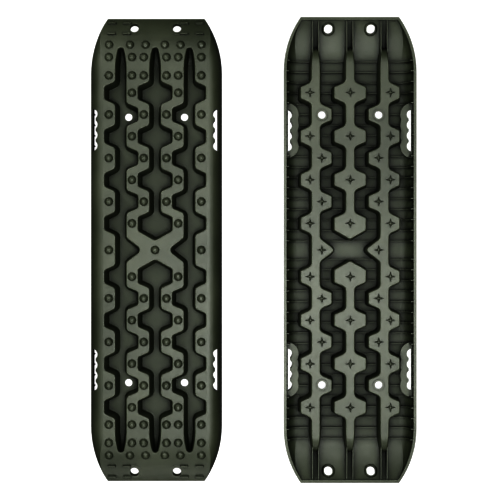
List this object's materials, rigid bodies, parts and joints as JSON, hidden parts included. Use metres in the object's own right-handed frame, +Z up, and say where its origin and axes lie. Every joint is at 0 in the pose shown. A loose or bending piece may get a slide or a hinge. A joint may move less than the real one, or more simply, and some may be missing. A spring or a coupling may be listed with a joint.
{
  "type": "vehicle traction board pair",
  "caption": "Pair of moulded plastic traction boards with zigzag channels, round grip studs, sloping ends, side hand slots and rope eyelets; one lies tread side up, the other underside up.",
  "frame": {"origin": "on the ground, midway between the two boards and midway along them", "axes": "+X across from the tread-up board to the underside-up board, +Y along both boards, +Z up"},
  "size_m": [0.751, 1.07, 0.06],
  "materials": {
    "moulded_plastic": "fine moulded grain, satin"
  },
  "bodies": {
    "tread_up_board": {"tread_up_board": "moulded_plastic"},
    "cleat_up_board": {"cleat_up_board": "moulded_plastic"}
  },
  "joints": [
    {"name": "cleat_up_board_lift", "type": "slide", "parent": "tread_up_board", "child": "cleat_up_board", "axis": [0, 0, 1], "range_m": [0, 0.3]}
  ]
}
